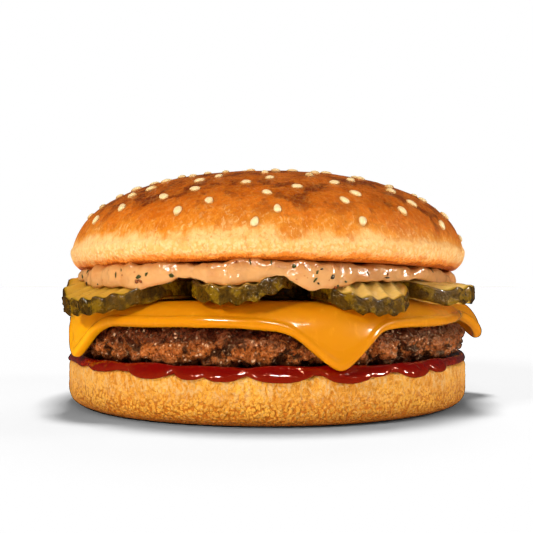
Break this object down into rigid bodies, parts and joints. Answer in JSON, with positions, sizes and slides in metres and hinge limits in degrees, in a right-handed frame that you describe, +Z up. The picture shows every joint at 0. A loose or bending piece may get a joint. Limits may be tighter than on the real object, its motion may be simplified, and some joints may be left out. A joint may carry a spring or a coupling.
{
  "type": "hamburger",
  "caption": "Cheese hamburger in a seeded round bun: flat lower bun, tomato sauce, browned patty, draped square cheese slice, ridged pickle slices, cream sauce and domed crown.",
  "frame": {"origin": "middle of the lower bun's flat base", "axes": "+Z up through the layers, -Y towards the front with the cheese corner, +X to the viewer's right"},
  "size_m": [0.1143, 0.1095, 0.062],
  "materials": {
    "crumb": "golden, fibrous baked bread side",
    "tomato": "wet deep red sauce",
    "meat": "coarse browned minced meat with moist highlights",
    "cheddar": "smooth half-melted orange-yellow cheese",
    "pickle": "wet olive flesh with darker warty skin",
    "cream": "creamy orange-pink sauce with dark specks",
    "crust": "glazed golden-brown crust, paler towards the heel, with cream-coloured seeds"
  },
  "bodies": {
    "root": {"lower_bun": "crumb", "tomato_sauce": "tomato", "patty": "meat", "cheese": "cheddar", "pickle_1": "pickle", "pickle_2": "pickle", "pickle_3": "pickle", "pickle_4": "pickle", "pickle_5": "pickle", "pickle_6": "pickle", "pickle_7": "pickle", "pickle_8": "pickle", "pickle_9": "pickle", "cream_sauce": "cream", "crown": "crust"}
  },
  "joints": []
}
